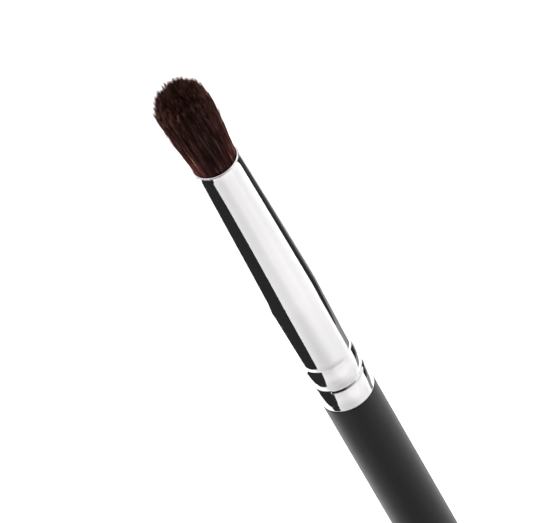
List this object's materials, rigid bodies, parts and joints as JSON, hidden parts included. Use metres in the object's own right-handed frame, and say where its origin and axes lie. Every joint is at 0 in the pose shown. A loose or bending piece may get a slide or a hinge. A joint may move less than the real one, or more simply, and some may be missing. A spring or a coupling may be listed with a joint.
{
  "type": "eyeshadow brush",
  "caption": "Slim round eyeshadow brush: a domed head of fine dark brown hair in a tapered, polished metal ferrule that is crimped onto a satin black turned wooden handle.",
  "frame": {"origin": "centre of the handle's tail end, on the brush's axis", "axes": "+Z along the brush's axis, from the tail of the handle to the tip of the hair; the brush is round about it"},
  "size_m": [0.0086, 0.0086, 0.175],
  "materials": {
    "hair": "fine dark brown hair with a soft sheen",
    "thread": "waxed cotton thread",
    "resin": "cured amber epoxy",
    "nickel": "polished nickel plate on drawn brass",
    "glue": "dried wood glue",
    "lacquer": "satin black lacquer on turned birch"
  },
  "bodies": {
    "root": {"bristle_tuft": "hair", "binding_thread": "thread", "root_resin": "resin", "ferrule": "nickel", "tenon_glue": "glue", "handle": "lacquer"}
  },
  "joints": []
}
